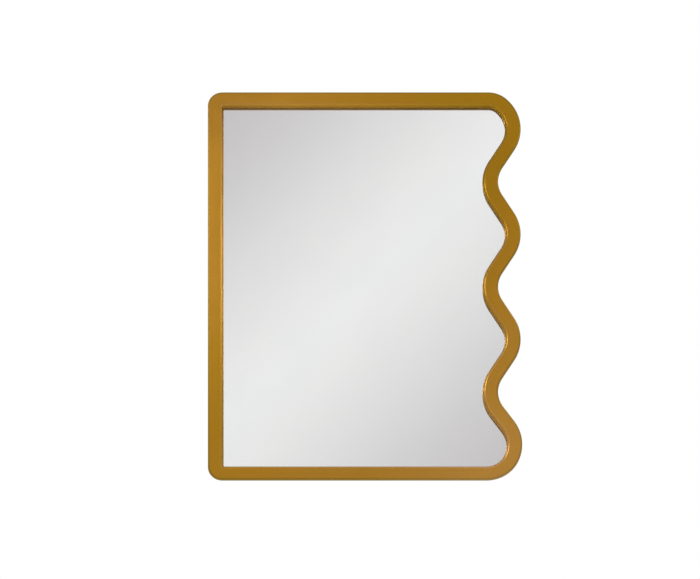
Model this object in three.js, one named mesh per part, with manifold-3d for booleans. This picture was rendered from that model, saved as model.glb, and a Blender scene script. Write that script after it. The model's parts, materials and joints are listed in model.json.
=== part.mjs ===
// Wall mirror with three straight sides and one wavy side.
// Millimetres. X runs to the right, Z up, and the front faces -Y.
// The origin is the centre of the plane that the rear bumpers press on.

import * as THREE from 'three';
import { mergeVertices } from 'three/addons/utils/BufferGeometryUtils.js';
import Module from 'manifold-3d';

const wasm = await Module();
wasm.setup();

// ---------------------------------------------------------------- driving dimensions

// Outline of the frame, seen from the front
const WIDTH = 670;
const HEIGHT = 900;
const LEFT_CORNER_RADIUS = 31;
const TOP_RIGHT_RADIUS = 57;
const BOTTOM_RIGHT_RADIUS = 75;
const TOP_RIGHT_MEET = THREE.MathUtils.degToRad(47.6);     // where that corner runs into the first crest
const BOTTOM_RIGHT_MEET = THREE.MathUtils.degToRad(24.4);  // and the other one into the last crest
const CREST_COUNT = 4;
const WAVE_DEPTH = 48;                                     // crest to trough, across the wave
const LAST_CREST_REACH = 3.5;                              // how much further out the lowest crest comes
const FLANK_ANGLE = THREE.MathUtils.degToRad(31.5);        // straight flanks above it, off the vertical
const SHARP_CORNER_RADIUS = 2;                             // least radius of the left inner corners

// Section of the frame bar
const BAR_WIDTH = 33.5;          // outer edge to the edge of the visible glass
const BAR_DEPTH = 20.5;          // front face to rear face
const OUTER_ROUND = 3;
const EDGE_FLAT = 3;             // straight edge behind the round
const UNDERCUT = 7.5;            // how far the side slopes in from there to the rear face
const RIM_WIDTH = 6;             // sloping rim beside the glass
const RIM_DROP = 7.5;
const RIM_BULGE = THREE.MathUtils.degToRad(16);            // half the turn of the rim's arc
const LEDGE_REACH = 8;           // how far the bar overlaps the glass

// Sheets in the rebate, front to rear
const GLASS_THICKNESS = 4;
const SILVERING_THICKNESS = 0.2;
const FOAM_THICKNESS = 1;
const BOARD_THICKNESS = 3;
const BOARD_RECESS = 0.3;        // board below the rear face of the bar
const SHEET_GAP = 0.05;
const SHEET_CLEARANCE = 1;       // sheet edge to rebate wall

// Dowelled joints between the frame sections
const RIGHT_JOINT_INSET = 110;   // from the crests to the joints of the wavy stile
const DOWEL_RADIUS = 3;
const DOWEL_LENGTH = 30;
const DOWEL_OUTER_INSET = 9;
const DOWEL_SPACING = 11;
const DOWEL_CHAMFER = 0.8;
const DOWEL_CLEARANCE = 0.3;
const DOWEL_END_CLEARANCE = 0.5;

// Screws
const SCREW_RADIUS = 1.75;
const SCREW_LENGTH = 9;
const SCREW_TIP = 3;
const SCREW_HEAD_RADIUS = 3.2;
const SCREW_HEAD_HEIGHT = 1.8;
const SCREW_HEAD_SIDE = 0.8;     // straight side below the dome
const SCREW_HEAD_TOP_RADIUS = 1.6;
const SCREW_SLOT_WIDTH = 0.9;
const SCREW_SLOT_LENGTH = 3.6;
const SCREW_SLOT_DEPTH = 1;
const PILOT_CLEARANCE = 0.3;
const HEAD_SEAT_GAP = 0.1;

// Turn buttons
const BUTTON_WIDTH = 10;
const BUTTON_THICKNESS = 1.2;
const BUTTON_HOLD = 9;           // how far a closed button reaches over the sheets
const BUTTON_HOLE_CLEARANCE = 0.3;
const BUTTON_SEAT_GAP = 0.2;
const STILE_BUTTON_HEIGHT = 230; // above and below the middle
const RAIL_BUTTON_INSET = 225;   // from the left and right sides of the frame

// Hangers
const STRAP_WIDTH = 12;
const STRAP_THICKNESS = 1.2;
const STRAP_LENGTH = 37;         // pivot to the lower end
const STRAP_END_RADIUS = 3;
const STRAP_SCREW_PITCH = 12;
const STRAP_SCREW_MARGIN = 5.5;
const PIVOT_RISE = 16;           // pivot above the first crest
const RING_WIRE_RADIUS = 1.25;
const RING_WIDTH = 20;
const RING_SHOULDER = 3;         // outer radius of the corners beside the bar
const RING_SIDE = 2.5;
const RING_CLEARANCE = 0.35;

// Bumpers
const BUMPER_RADIUS = 6;
const BUMPER_HEIGHT = 6;
const BUMPER_ROUND = 1.2;
const BUMPER_INSET = 145;        // from the left and right sides of the frame

// Steps in the round stretches
const CORNER_STEPS = 7;
const WAVE_STEPS = 10;
const ROUND_STEPS = 3;
const DOME_STEPS = 2;
const WIRE_SIDES = 8;
const TURNED_SIDES = 12;

// Cutting tools
const CUT_PAST = 1;              // how far a cut runs past the face that it starts from
const CUTTER_SPAN = 4;           // how many times over a cutter spans what it cuts through
const MERGE_DISTANCE = 1e-5;     // corners closer than this are one corner

// ---------------------------------------------------------------- values worked out from them

const REAR_Y = -BUMPER_HEIGHT;
const FRONT_Y = REAR_Y - BAR_DEPTH;
const SHEET_STACK = GLASS_THICKNESS + SILVERING_THICKNESS + FOAM_THICKNESS + BOARD_THICKNESS;
const REBATE_DEPTH = SHEET_STACK + 4 * SHEET_GAP + BOARD_RECESS;
const LEDGE_THICKNESS = BAR_DEPTH - REBATE_DEPTH;
const REBATE_INSET = BAR_WIDTH - LEDGE_REACH;
const SHEET_INSET = REBATE_INSET + SHEET_CLEARANCE;
const LAND_MIDDLE = (REBATE_INSET + UNDERCUT) / 2;         // middle of the bar's rear face

const LEFT = -WIDTH / 2;
const RIGHT = WIDTH / 2;
const TOP = HEIGHT / 2;
const BOTTOM = -HEIGHT / 2;

const LAST_CREST = CREST_COUNT - 1;

// The bar keeps its width round the wave, so crests and troughs bend about one middle radius.
// A half wave of height h holds two arcs and one straight flank, and with the flank's angle given
// the two radii add up to h * arcPerHeight - arcOffset. The flank beside the lowest crest, which comes
// further out, leans more.
function solveWave() {
  const sine = Math.sin(FLANK_ANGLE);
  const cosine = Math.cos(FLANK_ANGLE);
  const arcPerHeight = sine / (1 - cosine);
  const arcOffset = WAVE_DEPTH * cosine / (1 - cosine);
  const meetTop = Math.sin(TOP_RIGHT_MEET);
  const meetBottom = Math.sin(BOTTOM_RIGHT_MEET);
  const meets = (meetTop + meetBottom) / 2;
  const corners = TOP_RIGHT_RADIUS * (1 - meetTop) + BOTTOM_RIGHT_RADIUS * (1 - meetBottom);
  const halfWaves = 2 * LAST_CREST;
  const halfWave = (HEIGHT - corners + (arcOffset - BAR_WIDTH) * meets)
    / (halfWaves + arcPerHeight * meets);
  const middleRadius = (arcPerHeight * halfWave - arcOffset) / 2;
  const crestRadius = middleRadius + BAR_WIDTH / 2;
  const firstCrest = crestRadius * meetTop + TOP_RIGHT_RADIUS * (1 - meetTop);
  return {
    halfWave,
    crestRadius,
    troughRadius: middleRadius - BAR_WIDTH / 2,
    firstCrestZ: TOP - firstCrest,
  };
}

const wave = solveWave();
const crestZ = (index) => wave.firstCrestZ - 2 * index * wave.halfWave;
const troughZ = (index) => crestZ(index) - wave.halfWave;
const WAVE_RIGHT = RIGHT - LAST_CREST_REACH;
const crestRight = (index) => (index === LAST_CREST ? RIGHT : WAVE_RIGHT);
const crestCentreX = (index) => crestRight(index) - wave.crestRadius;
const troughCentreX = WAVE_RIGHT - WAVE_DEPTH + wave.troughRadius;

// Angle off the vertical of the straight flanks beside a crest, which touch its arc and the trough's
function flankAngle(index) {
  const across = troughCentreX - crestCentreX(index);
  const radii = wave.crestRadius + wave.troughRadius;
  return Math.atan2(wave.halfWave, across) - Math.acos(radii / Math.hypot(across, wave.halfWave));
}

const RIGHT_JOINT_X = RIGHT - RIGHT_JOINT_INSET;
const LEFT_JOINT_X = LEFT + BAR_WIDTH;

// ---------------------------------------------------------------- outline

function arc(centreX, centreZ, radius, from, to, steps) {
  const points = [];
  for (let i = 0; i <= steps; i += 1) {
    const angle = from + (to - from) * i / steps;
    points.push([centreX + radius * Math.cos(angle), centreZ + radius * Math.sin(angle)]);
  }
  return points;
}

// Corner arc that runs into a crest arc with no kink
function meetingCorner(crestIndex, side, radius, meet, inset) {
  const reach = wave.crestRadius - radius;
  const centreX = crestCentreX(crestIndex) + reach * Math.cos(meet);
  const centreZ = crestZ(crestIndex) + side * reach * Math.sin(meet);
  const ends = side > 0 ? [meet, Math.PI / 2] : [-Math.PI / 2, -meet];
  return arc(centreX, centreZ, radius - inset, ends[0], ends[1], CORNER_STEPS);
}

// Closed outline at a distance inside the frame's outer edge, anticlockwise from the lower left corner
function outlineAt(inset) {
  const left = Math.max(LEFT_CORNER_RADIUS - inset, SHARP_CORNER_RADIUS);
  const leftX = LEFT + inset + left;
  const points = [];
  points.push(...arc(leftX, BOTTOM + inset + left, left, Math.PI, 1.5 * Math.PI, CORNER_STEPS));
  points.push(...meetingCorner(LAST_CREST, -1, BOTTOM_RIGHT_RADIUS, BOTTOM_RIGHT_MEET, inset));
  for (let i = LAST_CREST; i >= 0; i -= 1) {
    const joinsCorner = i === LAST_CREST;
    const from = joinsCorner ? -BOTTOM_RIGHT_MEET : -flankAngle(i);
    const to = i === 0 ? TOP_RIGHT_MEET : flankAngle(i);
    const radius = wave.crestRadius - inset;
    const crest = arc(crestCentreX(i), crestZ(i), radius, from, to, WAVE_STEPS);
    points.push(...(joinsCorner ? crest.slice(1) : crest));
    if (i > 0) {
      const concave = wave.troughRadius + inset;
      const lower = Math.PI + flankAngle(i);
      const upper = Math.PI - flankAngle(i - 1);
      points.push(...arc(troughCentreX, troughZ(i - 1), concave, lower, upper, WAVE_STEPS));
    }
  }
  points.push(...meetingCorner(0, 1, TOP_RIGHT_RADIUS, TOP_RIGHT_MEET, inset).slice(1));
  points.push(...arc(leftX, TOP - inset - left, left, Math.PI / 2, Math.PI, CORNER_STEPS));
  return points;
}

// Section of the bar as [inset, distance behind the front face], once round
function barSection() {
  const section = [];
  for (let i = 0; i <= ROUND_STEPS; i += 1) {
    const angle = Math.PI / 2 * i / ROUND_STEPS;
    section.push([OUTER_ROUND * (1 - Math.cos(angle)), OUTER_ROUND * (1 - Math.sin(angle))]);
  }
  const rimStart = Math.atan2(RIM_DROP, RIM_WIDTH) - RIM_BULGE;
  const rimRadius = Math.hypot(RIM_WIDTH, RIM_DROP) / (2 * Math.sin(RIM_BULGE));
  for (let i = 0; i <= ROUND_STEPS; i += 1) {
    const slope = rimStart + 2 * RIM_BULGE * i / ROUND_STEPS;
    const run = rimRadius * (Math.sin(slope) - Math.sin(rimStart));
    const fall = rimRadius * (Math.cos(rimStart) - Math.cos(slope));
    section.push([BAR_WIDTH - RIM_WIDTH + run, fall]);
  }
  section.push([BAR_WIDTH, LEDGE_THICKNESS]);
  section.push([REBATE_INSET, LEDGE_THICKNESS]);
  section.push([REBATE_INSET, BAR_DEPTH]);
  section.push([UNDERCUT, BAR_DEPTH]);
  section.push([0, OUTER_ROUND + EDGE_FLAT]);
  return section;
}

// ---------------------------------------------------------------- solids

// Closed loop of one section: ringAt(inset) gives the loop, each section point its inset and depth
function loopGeometry(section, ringAt, frontY) {
  const vertices = [];
  const indices = [];
  const count = ringAt(0).length;
  for (const [inset, depth] of section) {
    for (const [x, z] of ringAt(inset)) vertices.push(x, frontY + depth, z);
  }
  for (let k = 0; k < section.length; k += 1) {
    const here = k * count;
    const next = ((k + 1) % section.length) * count;
    for (let j = 0; j < count; j += 1) {
      const after = (j + 1) % count;
      indices.push(here + j, here + after, next + after);
      indices.push(here + j, next + after, next + j);
    }
  }
  const geometry = new THREE.BufferGeometry();
  geometry.setAttribute('position', new THREE.Float32BufferAttribute(vertices, 3));
  geometry.setIndex(indices);
  return geometry;
}

function toManifold(geometry) {
  const bare = geometry.clone();
  bare.deleteAttribute('normal');
  bare.deleteAttribute('uv');
  const merged = mergeVertices(bare, MERGE_DISTANCE);
  return new wasm.Manifold(new wasm.Mesh({
    numProp: 3,
    vertProperties: new Float32Array(merged.attributes.position.array),
    triVerts: new Uint32Array(merged.index.array),
  }));
}

function toGeometry(manifold) {
  const mesh = manifold.getMesh();
  const geometry = new THREE.BufferGeometry();
  geometry.setAttribute('position', new THREE.BufferAttribute(mesh.vertProperties, 3));
  geometry.setIndex(new THREE.BufferAttribute(mesh.triVerts, 1));
  geometry.computeVertexNormals();
  return geometry;
}

function shapeFrom(points) {
  return new THREE.Shape(points.map(([x, z]) => new THREE.Vector2(x, z)));
}

// Flat plate drawn in X and Z, from its rear face at y = 0 forwards
function plateGeometry(shape, thickness, steps = CORNER_STEPS) {
  const options = { depth: thickness, bevelEnabled: false, curveSegments: steps };
  return new THREE.ExtrudeGeometry(shape, options).rotateX(Math.PI / 2);
}

// Turned piece about the Y axis from [radius, y] pairs, from low y to high y
function turnedGeometry(profile, sides = TURNED_SIDES) {
  return new THREE.LatheGeometry(profile.map(([r, y]) => new THREE.Vector2(r, y)), sides);
}

// Circular hole that a faceted pin of this radius clears all round
function holeRadius(pinRadius, clearance, sides) {
  return (pinRadius + clearance) / Math.cos(Math.PI / sides);
}

// ---------------------------------------------------------------- materials

function finish(color, roughness, metalness) {
  return new THREE.MeshStandardMaterial({ color, roughness, metalness });
}

const GOLD_LACQUER = finish(0xa5772c, 0.42, 0.85);
const CLEAR_GLASS = finish(0xe9eeec, 0.04, 0);
const SILVERING = finish(0xdedcdc, 0.05, 1);
const FOAM = finish(0xe8e8e4, 0.95, 0);
const HARDBOARD = finish(0x7a5636, 0.85, 0);
const BEECH = finish(0xc79a63, 0.8, 0);
const ZINC = finish(0xb4b7b9, 0.38, 1);
const NICKEL = finish(0xc4c1b8, 0.28, 1);
const RUBBER = finish(0x26262a, 0.85, 0);

// ---------------------------------------------------------------- assembly

const mirror = new THREE.Group();
mirror.name = 'irregular_wall_mirror';

function addPiece(name, geometry, material, x = 0, y = 0, z = 0, turn = 0) {
  const mesh = new THREE.Mesh(geometry, material);
  mesh.name = name;
  mesh.position.set(x, y, z);
  mesh.rotation.y = turn;
  mirror.add(mesh);
}

// Places on the bar's rear face. A turn button's turn points it at the middle of the mirror.
const BAR_X_LEFT = LEFT + LAND_MIDDLE;
const BAR_Z_TOP = TOP - LAND_MIDDLE;
const BAR_Z_BOTTOM = BOTTOM + LAND_MIDDLE;
const TROUGH_X = WAVE_RIGHT - WAVE_DEPTH - LAND_MIDDLE;
const RAIL_BUTTON_X = RIGHT - RAIL_BUTTON_INSET;
const BUMPER_X = RIGHT - BUMPER_INSET;
const QUARTER = Math.PI / 2;

const buttonPlaces = [
  { name: 'left_upper', x: BAR_X_LEFT, z: STILE_BUTTON_HEIGHT, turn: 0 },
  { name: 'left_lower', x: BAR_X_LEFT, z: -STILE_BUTTON_HEIGHT, turn: 0 },
  { name: 'top_left', x: -RAIL_BUTTON_X, z: BAR_Z_TOP, turn: QUARTER },
  { name: 'top_right', x: RAIL_BUTTON_X, z: BAR_Z_TOP, turn: QUARTER },
  { name: 'bottom_left', x: -RAIL_BUTTON_X, z: BAR_Z_BOTTOM, turn: -QUARTER },
  { name: 'bottom_right', x: RAIL_BUTTON_X, z: BAR_Z_BOTTOM, turn: -QUARTER },
  { name: 'wave_upper', x: TROUGH_X, z: troughZ(0), turn: Math.PI },
  { name: 'wave_lower', x: TROUGH_X, z: troughZ(LAST_CREST - 1), turn: Math.PI },
];

const pivotZ = crestZ(0) + PIVOT_RISE;
const strapScrewDrop = STRAP_LENGTH - STRAP_SCREW_MARGIN;
const hangerPlaces = [
  { name: 'left', x: BAR_X_LEFT },
  { name: 'right', x: WAVE_RIGHT - LAND_MIDDLE },
];
const strapScrews = [
  { name: 'upper', z: pivotZ - strapScrewDrop + STRAP_SCREW_PITCH },
  { name: 'lower', z: pivotZ - strapScrewDrop },
];

const buttonSeatY = REAR_Y + BUTTON_SEAT_GAP + BUTTON_THICKNESS + HEAD_SEAT_GAP;
const strapSeatY = REAR_Y + STRAP_THICKNESS + HEAD_SEAT_GAP;

const screwPlaces = [];
for (const { name, x, z } of buttonPlaces) {
  screwPlaces.push({ name: `turn_button_screw_${name}`, x, y: buttonSeatY, z });
}
for (const hanger of hangerPlaces) {
  for (const { name, z } of strapScrews) {
    screwPlaces.push({ name: `hanger_screw_${hanger.name}_${name}`, x: hanger.x, y: strapSeatY, z });
  }
}

// Two dowels cross each frame joint
const dowelPlaces = [];
for (const [endName, edge, inward] of [['top', TOP, -1], ['bottom', BOTTOM, 1]]) {
  for (const [sideName, x] of [['left', LEFT_JOINT_X], ['right', RIGHT_JOINT_X]]) {
    for (const [index, spacing] of [0, DOWEL_SPACING].entries()) {
      const z = edge + inward * (DOWEL_OUTER_INSET + spacing);
      dowelPlaces.push({ name: `dowel_${endName}_${sideName}_${index + 1}`, x, z });
    }
  }
}
const dowelY = REAR_Y - BAR_DEPTH / 2;

// ---------------------------------------------------------------- frame sections

function cutterBox(fromX, toX, fromZ, toZ) {
  const depth = CUTTER_SPAN * BAR_DEPTH;
  const box = new THREE.BoxGeometry(toX - fromX, depth, toZ - fromZ);
  return toManifold(box.translate((fromX + toX) / 2, dowelY, (fromZ + toZ) / 2));
}

function pilotHole({ x, y, z }) {
  const radius = holeRadius(SCREW_RADIUS, PILOT_CLEARANCE, TURNED_SIDES);
  const bottomY = y - SCREW_LENGTH - PILOT_CLEARANCE;
  const length = REAR_Y - bottomY + CUT_PAST;
  const hole = new THREE.CylinderGeometry(radius, radius, length, TURNED_SIDES);
  return toManifold(hole.translate(x, bottomY + length / 2, z));
}

function dowelHole({ x, z }) {
  const radius = holeRadius(DOWEL_RADIUS, DOWEL_CLEARANCE, TURNED_SIDES);
  const length = DOWEL_LENGTH + 2 * DOWEL_END_CLEARANCE;
  const hole = new THREE.CylinderGeometry(radius, radius, length, TURNED_SIDES);
  return toManifold(hole.rotateZ(QUARTER).translate(x, dowelY, z));
}

function buildFrame() {
  const whole = toManifold(loopGeometry(barSection(), outlineAt, FRONT_Y));
  const holes = [...screwPlaces.map(pilotHole), ...dowelPlaces.map(dowelHole)];
  const drilled = holes.reduce((solid, hole) => solid.subtract(hole), whole);
  const beyond = WIDTH + HEIGHT;
  const sections = {
    frame_left_stile: cutterBox(-beyond, LEFT_JOINT_X, -beyond, beyond),
    frame_top_rail: cutterBox(LEFT_JOINT_X, RIGHT_JOINT_X, 0, beyond),
    frame_bottom_rail: cutterBox(LEFT_JOINT_X, RIGHT_JOINT_X, -beyond, 0),
    frame_wavy_stile: cutterBox(RIGHT_JOINT_X, beyond, -beyond, beyond),
  };
  for (const [name, cutter] of Object.entries(sections)) {
    addPiece(name, toGeometry(drilled.intersect(cutter)), GOLD_LACQUER);
  }
}

// ---------------------------------------------------------------- sheets in the rebate

function buildSheets() {
  const shape = shapeFrom(outlineAt(SHEET_INSET));
  const sheets = [
    ['mirror_glass', GLASS_THICKNESS, CLEAR_GLASS],
    ['mirror_silvering', SILVERING_THICKNESS, SILVERING],
    ['foam_sheet', FOAM_THICKNESS, FOAM],
    ['backing_board', BOARD_THICKNESS, HARDBOARD],
  ];
  let y = FRONT_Y + LEDGE_THICKNESS;
  for (const [name, thickness, material] of sheets) {
    y += SHEET_GAP + thickness;
    addPiece(name, plateGeometry(shape, thickness), material, 0, y);
  }
}

// ---------------------------------------------------------------- fittings

function buildDowels() {
  const half = DOWEL_LENGTH / 2;
  const geometry = turnedGeometry([
    [0, -half],
    [DOWEL_RADIUS - DOWEL_CHAMFER, -half],
    [DOWEL_RADIUS, -half + DOWEL_CHAMFER],
    [DOWEL_RADIUS, half - DOWEL_CHAMFER],
    [DOWEL_RADIUS - DOWEL_CHAMFER, half],
    [0, half],
  ]).rotateZ(QUARTER);
  for (const { name, x, z } of dowelPlaces) addPiece(name, geometry, BEECH, x, dowelY, z);
}

// Pan-head screw with a cross slot, its head resting on y = 0 and its point towards the front
function screwGeometry() {
  const profile = [
    [0, -SCREW_LENGTH],
    [SCREW_RADIUS, SCREW_TIP - SCREW_LENGTH],
    [SCREW_RADIUS, 0],
    [SCREW_HEAD_RADIUS, 0],
  ];
  const domeRun = SCREW_HEAD_RADIUS - SCREW_HEAD_TOP_RADIUS;
  const domeRise = SCREW_HEAD_HEIGHT - SCREW_HEAD_SIDE;
  for (let i = 0; i <= DOME_STEPS; i += 1) {
    const angle = QUARTER * i / DOME_STEPS;
    const radius = SCREW_HEAD_TOP_RADIUS + domeRun * Math.cos(angle);
    profile.push([radius, SCREW_HEAD_SIDE + domeRise * Math.sin(angle)]);
  }
  profile.push([0, SCREW_HEAD_HEIGHT]);
  const blank = toManifold(turnedGeometry(profile));
  const slotHeight = SCREW_SLOT_DEPTH + CUT_PAST;
  const slotY = SCREW_HEAD_HEIGHT - SCREW_SLOT_DEPTH + slotHeight / 2;
  const along = new THREE.BoxGeometry(SCREW_SLOT_LENGTH, slotHeight, SCREW_SLOT_WIDTH);
  const across = new THREE.BoxGeometry(SCREW_SLOT_WIDTH, slotHeight, SCREW_SLOT_LENGTH);
  const cuts = [along, across].map((box) => toManifold(box.translate(0, slotY, 0)));
  return toGeometry(cuts.reduce((solid, cut) => solid.subtract(cut), blank));
}

function buildScrews() {
  const geometry = screwGeometry();
  for (const { name, x, y, z } of screwPlaces) addPiece(name, geometry, ZINC, x, y, z);
}

// Round-ended plate that turns about its screw at the origin and reaches towards +X
function buttonGeometry() {
  const radius = BUTTON_WIDTH / 2;
  const reach = REBATE_INSET - LAND_MIDDLE + BUTTON_HOLD - radius;
  const shape = new THREE.Shape();
  shape.absarc(reach, 0, radius, -QUARTER, QUARTER, false);
  shape.absarc(0, 0, radius, QUARTER, 3 * QUARTER, false);
  const hole = new THREE.Path();
  const clear = holeRadius(SCREW_RADIUS, BUTTON_HOLE_CLEARANCE, TURNED_SIDES);
  hole.absarc(0, 0, clear, 0, 2 * Math.PI, true);
  shape.holes.push(hole);
  return plateGeometry(shape, BUTTON_THICKNESS, TURNED_SIDES / 2);
}

function buildTurnButtons() {
  const geometry = buttonGeometry();
  const y = REAR_Y + BUTTON_SEAT_GAP + BUTTON_THICKNESS;
  for (const { name, x, z, turn } of buttonPlaces) {
    addPiece(`turn_button_${name}`, geometry, ZINC, x, y, z, turn);
  }
}

const curlBore = holeRadius(RING_WIRE_RADIUS, RING_CLEARANCE, TURNED_SIDES);
const curlRadius = curlBore + STRAP_THICKNESS;
const pivotY = REAR_Y + curlRadius;

// Side view of the strap: a plate whose upper end is rolled round the pivot at the origin
function strapProfile() {
  const plateFace = STRAP_THICKNESS - curlRadius;
  const shape = new THREE.Shape();
  shape.moveTo(plateFace, -STRAP_LENGTH);
  shape.lineTo(-curlRadius, -STRAP_LENGTH);
  shape.absarc(0, 0, curlRadius, Math.PI, -Math.acos(plateFace / curlRadius), true);
  const bore = new THREE.Path();
  bore.absarc(0, 0, curlBore, 0, 2 * Math.PI, false);
  shape.holes.push(bore);
  return shape;
}

// Front view of the strap, with its two lower corners rounded
function strapFace() {
  const half = STRAP_WIDTH / 2;
  const corner = half - STRAP_END_RADIUS;
  const cornerZ = STRAP_END_RADIUS - STRAP_LENGTH;
  const shape = new THREE.Shape();
  shape.moveTo(half, STRAP_LENGTH);
  shape.lineTo(-half, STRAP_LENGTH);
  shape.absarc(-corner, cornerZ, STRAP_END_RADIUS, Math.PI, 1.5 * Math.PI, false);
  shape.absarc(corner, cornerZ, STRAP_END_RADIUS, 1.5 * Math.PI, 2 * Math.PI, false);
  return shape;
}

function strapGeometry() {
  const options = { depth: STRAP_WIDTH, bevelEnabled: false, curveSegments: TURNED_SIDES / 2 };
  const sideways = new THREE.Matrix4().makeBasis(
    new THREE.Vector3(0, 1, 0),
    new THREE.Vector3(0, 0, 1),
    new THREE.Vector3(1, 0, 0),
  );
  const rolled = new THREE.ExtrudeGeometry(strapProfile(), options);
  const bar = toManifold(rolled.translate(0, 0, -STRAP_WIDTH / 2).applyMatrix4(sideways));
  const through = CUTTER_SPAN * curlRadius;
  const face = plateGeometry(strapFace(), through).translate(0, through / 2, 0);
  const rounded = bar.intersect(toManifold(face));
  const holes = strapScrews.map(({ z }) => {
    const radius = holeRadius(SCREW_RADIUS, PILOT_CLEARANCE, TURNED_SIDES);
    const hole = new THREE.CylinderGeometry(radius, radius, through, TURNED_SIDES);
    return toManifold(hole.translate(0, 0, z - pivotZ));
  });
  return toGeometry(holes.reduce((solid, hole) => solid.subtract(hole), rounded));
}

// Outline of the hanging ring, its bar's middle at the origin and its bow below
function ringAt(inset) {
  const sideX = RING_WIDTH / 2;
  const cornerX = sideX - RING_SHOULDER;
  const cornerZ = RING_WIRE_RADIUS - RING_SHOULDER;
  const corner = RING_SHOULDER - inset;
  return [
    ...arc(0, cornerZ - RING_SIDE, sideX - inset, Math.PI, 2 * Math.PI, 2 * CORNER_STEPS),
    ...arc(cornerX, cornerZ, corner, 0, Math.PI / 2, ROUND_STEPS),
    ...arc(-cornerX, cornerZ, corner, Math.PI / 2, Math.PI, ROUND_STEPS),
  ];
}

function ringGeometry() {
  const section = [];
  for (let i = 0; i < WIRE_SIDES; i += 1) {
    const angle = 2 * Math.PI * i / WIRE_SIDES;
    const inset = RING_WIRE_RADIUS * (1 - Math.cos(angle));
    section.push([inset, -RING_WIRE_RADIUS * Math.sin(angle)]);
  }
  return loopGeometry(section, ringAt, 0);
}

function buildHangers() {
  const strap = strapGeometry();
  const ring = ringGeometry();
  for (const { name, x } of hangerPlaces) {
    addPiece(`hanger_strap_${name}`, strap, NICKEL, x, pivotY, pivotZ);
    addPiece(`hanger_ring_${name}`, ring, NICKEL, x, pivotY, pivotZ);
  }
}

function buildBumpers() {
  const geometry = turnedGeometry([
    [0, 0],
    [BUMPER_RADIUS, 0],
    [BUMPER_RADIUS, BUMPER_HEIGHT - BUMPER_ROUND],
    [BUMPER_RADIUS - BUMPER_ROUND, BUMPER_HEIGHT],
    [0, BUMPER_HEIGHT],
  ]);
  for (const [endName, z] of [['top', BAR_Z_TOP], ['bottom', BAR_Z_BOTTOM]]) {
    for (const [sideName, x] of [['left', -BUMPER_X], ['right', BUMPER_X]]) {
      addPiece(`wall_bumper_${endName}_${sideName}`, geometry, RUBBER, x, REAR_Y, z);
    }
  }
}

buildFrame();
buildSheets();
buildDowels();
buildScrews();
buildTurnButtons();
buildHangers();
buildBumpers();

export default mirror;
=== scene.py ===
# Wall mirror with three straight sides and one wavy side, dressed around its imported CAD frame.
# Metres. X runs to the right, Z up, and the front faces -Y.

import json
import math

import bmesh
import bpy
from mathutils import Matrix, Vector


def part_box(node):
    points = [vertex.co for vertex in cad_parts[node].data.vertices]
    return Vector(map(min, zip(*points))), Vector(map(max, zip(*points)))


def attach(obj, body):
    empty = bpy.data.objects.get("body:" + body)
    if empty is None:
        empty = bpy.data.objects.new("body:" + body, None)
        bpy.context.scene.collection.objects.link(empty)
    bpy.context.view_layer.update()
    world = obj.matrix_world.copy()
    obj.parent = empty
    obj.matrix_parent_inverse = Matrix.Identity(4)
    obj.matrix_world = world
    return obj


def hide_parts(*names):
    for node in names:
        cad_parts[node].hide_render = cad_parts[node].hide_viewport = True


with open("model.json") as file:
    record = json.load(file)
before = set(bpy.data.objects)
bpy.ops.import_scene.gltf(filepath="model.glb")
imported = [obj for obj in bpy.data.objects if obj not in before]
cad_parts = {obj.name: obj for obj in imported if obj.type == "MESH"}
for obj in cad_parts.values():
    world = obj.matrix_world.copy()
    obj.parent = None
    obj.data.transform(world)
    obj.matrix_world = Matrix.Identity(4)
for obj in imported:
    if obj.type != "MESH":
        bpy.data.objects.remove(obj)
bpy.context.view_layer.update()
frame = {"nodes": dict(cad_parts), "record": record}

# ---------------------------------------------------------------- sizes

MM = 0.001

# Outline of the frame: the corner radii, and the wave that the frame's own boxes don't give
LEFT_CORNER_RADIUS = 31 * MM
TOP_RIGHT_RADIUS = 57 * MM
BOTTOM_RIGHT_RADIUS = 75 * MM
TOP_RIGHT_MEET = math.radians(47.6)
BOTTOM_RIGHT_MEET = math.radians(24.4)
CREST_COUNT = 4
LAST_CREST = CREST_COUNT - 1
LAST_CREST_REACH = 3.5 * MM
WAVE_DEPTH = 48 * MM
FLANK_ANGLE = math.radians(31.5)
SHARP_CORNER_RADIUS = 2 * MM

# Section of the frame bar
BAR_WIDTH = 33.5 * MM
OUTER_ROUND = 3 * MM
EDGE_FLAT = 3 * MM
UNDERCUT = 7.5 * MM
RIM_WIDTH = 6 * MM
RIM_DROP = 7.5 * MM
RIM_BULGE = math.radians(16)
LEDGE_REACH = 8 * MM
REBATE_INSET = BAR_WIDTH - LEDGE_REACH

# Arrises that the CAD solid leaves sharp
CREASE_RADIUS = 5 * MM
RIM_EDGE_RADIUS = 0.5 * MM
LIP_RADIUS = 0.3 * MM
REAR_EDGE_RADIUS = 0.7 * MM

# Fittings on the back
SCREW_RADIUS = 1.75 * MM
SCREW_LENGTH = 9 * MM
SCREW_TIP = 3 * MM
HEAD_RADIUS = 3.2 * MM
HEAD_HEIGHT = 1.8 * MM
HEAD_SIDE = 0.8 * MM
HEAD_TOP_RADIUS = 1.6 * MM
SLOT_WIDTH = 0.9 * MM
SLOT_LENGTH = 3.6 * MM
SLOT_DEPTH = 1 * MM
SLOT_TAPER = 0.3
HOLE_RADIUS = 2.1 * MM
BUTTON_RADIUS = 5 * MM
STRAP_THICKNESS = 1.2 * MM
STRAP_LENGTH = 37 * MM
STRAP_CORNER = 3 * MM
CURL_RADIUS = 2.85 * MM
CURL_TURN = math.radians(300)
WIRE_RADIUS = 1.25 * MM
RING_HALF_WIDTH = 10 * MM
RING_SHOULDER = 3 * MM
RING_SIDE = 2.5 * MM
BUMPER_ROUND = 1.2 * MM
BUMPER_FOOT = 0.2 * MM
DOWEL_GAP = 0.35 * MM
METAL_ARRIS = 0.12 * MM
SCREW_POINT_RADIUS = 0.05 * MM
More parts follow.
